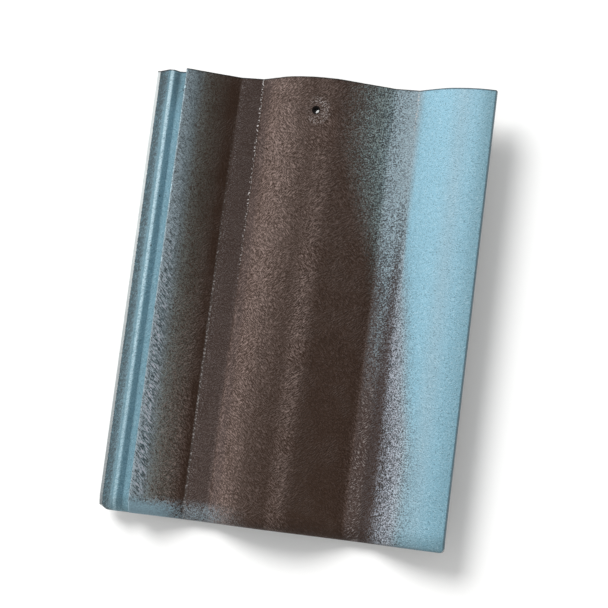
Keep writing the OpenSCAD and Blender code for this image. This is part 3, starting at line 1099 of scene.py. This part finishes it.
class MakeStage(bpy.types.Operator):
    """Lay a pale floor and set up soft light and the camera"""

    bl_idname = "scene.make_tile_stage"
    bl_label = "Make stage"

    def execute(self, context):
        settings = context.scene.tile_stage
        self.lay_floor(settings)
        self.hang_lights(context, settings)
        self.place_camera(context, settings)
        context.scene.view_settings.view_transform = "Standard"
        return {"FINISHED"}

    def lay_floor(self, settings):
        """A wide floor, white where it is looked at, that keeps its shadows and is clear from below."""
        material = bpy.data.materials.new("pale_floor")
        material.use_nodes = True
        tree = material.node_tree
        tree.nodes.remove(tree.nodes["Principled BSDF"])
        ray = tree.nodes.new("ShaderNodeLightPath")
        kinds = ("Camera", "Glossy", "Transmission")
        looks = [Signal(tree, ray.outputs[f"Is {kind} Ray"]) for kind in kinds]
        looked_at = looks[0].over(looks[1]).over(looks[2])
        plain = looked_at.node("ShaderNodeBsdfDiffuse", {}, {"Color": rgba(settings.floor_colour)})
        lift = plain.node("ShaderNodeEmission", {}, {"Strength": settings.floor_lift})
        lifted = plain.node("ShaderNodeAddShader", {}, {0: plain, 1: lift})
        front = plain.node("ShaderNodeMixShader", {}, {0: looked_at, 1: plain, 2: lifted})
        below = plain.node("ShaderNodeNewGeometry", {}, {}, "Backfacing")
        clear = plain.node("ShaderNodeBsdfTransparent")
        shown = plain.node("ShaderNodeMixShader", {}, {0: below, 1: front, 2: clear})
        tree.links.new(shown.socket, tree.nodes["Material Output"].inputs["Surface"])
        bm = bmesh.new()
        bmesh.ops.create_circle(bm, cap_ends=True, segments=FLOOR_SIDES, radius=settings.floor_radius)
        bmesh.ops.translate(bm, verts=bm.verts, vec=(0, 0, cad_box[0].z))
        floor = add_object("floor", bm, [material])
        if floor.data.polygons[0].normal.z < 0:
            floor.data.flip_normals()

    def set_up(self, context, data, place, turn):
        """Makes an object of a light or a camera, stands it at a place and turns it."""
        made = bpy.data.objects.new(data.name, data)
        made.location = place
        made.rotation_euler = turn
        context.scene.collection.objects.link(made)
        return made

    def hang_lights(self, context, settings):
        """Even light, a soft key light from the head's lock corner and a low one beside the lock."""
        world = bpy.data.worlds.new("even_light")
        world.use_nodes = True
        world.node_tree.nodes["Background"].inputs["Color"].default_value = (1, 1, 1, 1)
        world.node_tree.nodes["Background"].inputs["Strength"].default_value = settings.sky
        context.scene.world = world
        key = bpy.data.lights.new("key", "SUN")
        key.angle = settings.key_spread
        key.energy = settings.key_strength
        self.set_up(context, key, (0, 0, 0), settings.key_turn)
        low = bpy.data.lights.new("low", "AREA")
        low.size = settings.low_side
        low.energy = settings.low_power
        aim = (-Vector(settings.low_place)).to_track_quat("-Z", "Y").to_euler()
        self.set_up(context, low, settings.low_place, aim)

    def place_camera(self, context, settings):
        """The camera as the tile was looked at: from high above, a little past the cover edge."""
        camera = bpy.data.cameras.new("camera")
        camera.lens = settings.lens
        view = self.set_up(context, camera, settings.camera_place, settings.camera_turn)
        context.scene.camera = view


class TilePanel(bpy.types.Panel):
    """Buttons and settings of the roof tile"""

    bl_idname = "VIEW3D_PT_roof_tile"
    bl_label = "Roof tile"
    bl_space_type = "VIEW_3D"
    bl_region_type = "UI"
    bl_category = "Roof tile"

    def draw(self, context):
        scene = context.scene
        for operator, groups in (
            (MakeTile.bl_idname, (scene.tile_sizes, scene.tile_finish)),
            (MakeStage.bl_idname, (scene.tile_stage,)),
        ):
            self.layout.operator(operator)
            for group in groups:
                for name in group.bl_rna.properties.keys():
                    if name not in ("rna_type", "name"):
                        self.layout.prop(group, name)


CLASSES = (TileSizes, TileFinish, StageSettings, MakeTile, MakeStage, TilePanel)


def register():
    for item in CLASSES:
        bpy.utils.register_class(item)
    bpy.types.Scene.tile_sizes = PointerProperty(type=TileSizes)
    bpy.types.Scene.tile_finish = PointerProperty(type=TileFinish)
    bpy.types.Scene.tile_stage = PointerProperty(type=StageSettings)


def unregister():
    del bpy.types.Scene.tile_stage
    del bpy.types.Scene.tile_finish
    del bpy.types.Scene.tile_sizes
    for item in reversed(CLASSES):
        bpy.utils.unregister_class(item)


def main():
    register()
    bpy.ops.object.make_roof_tile()
    bpy.ops.scene.make_tile_stage()


if __name__ == "__main__":
    main()
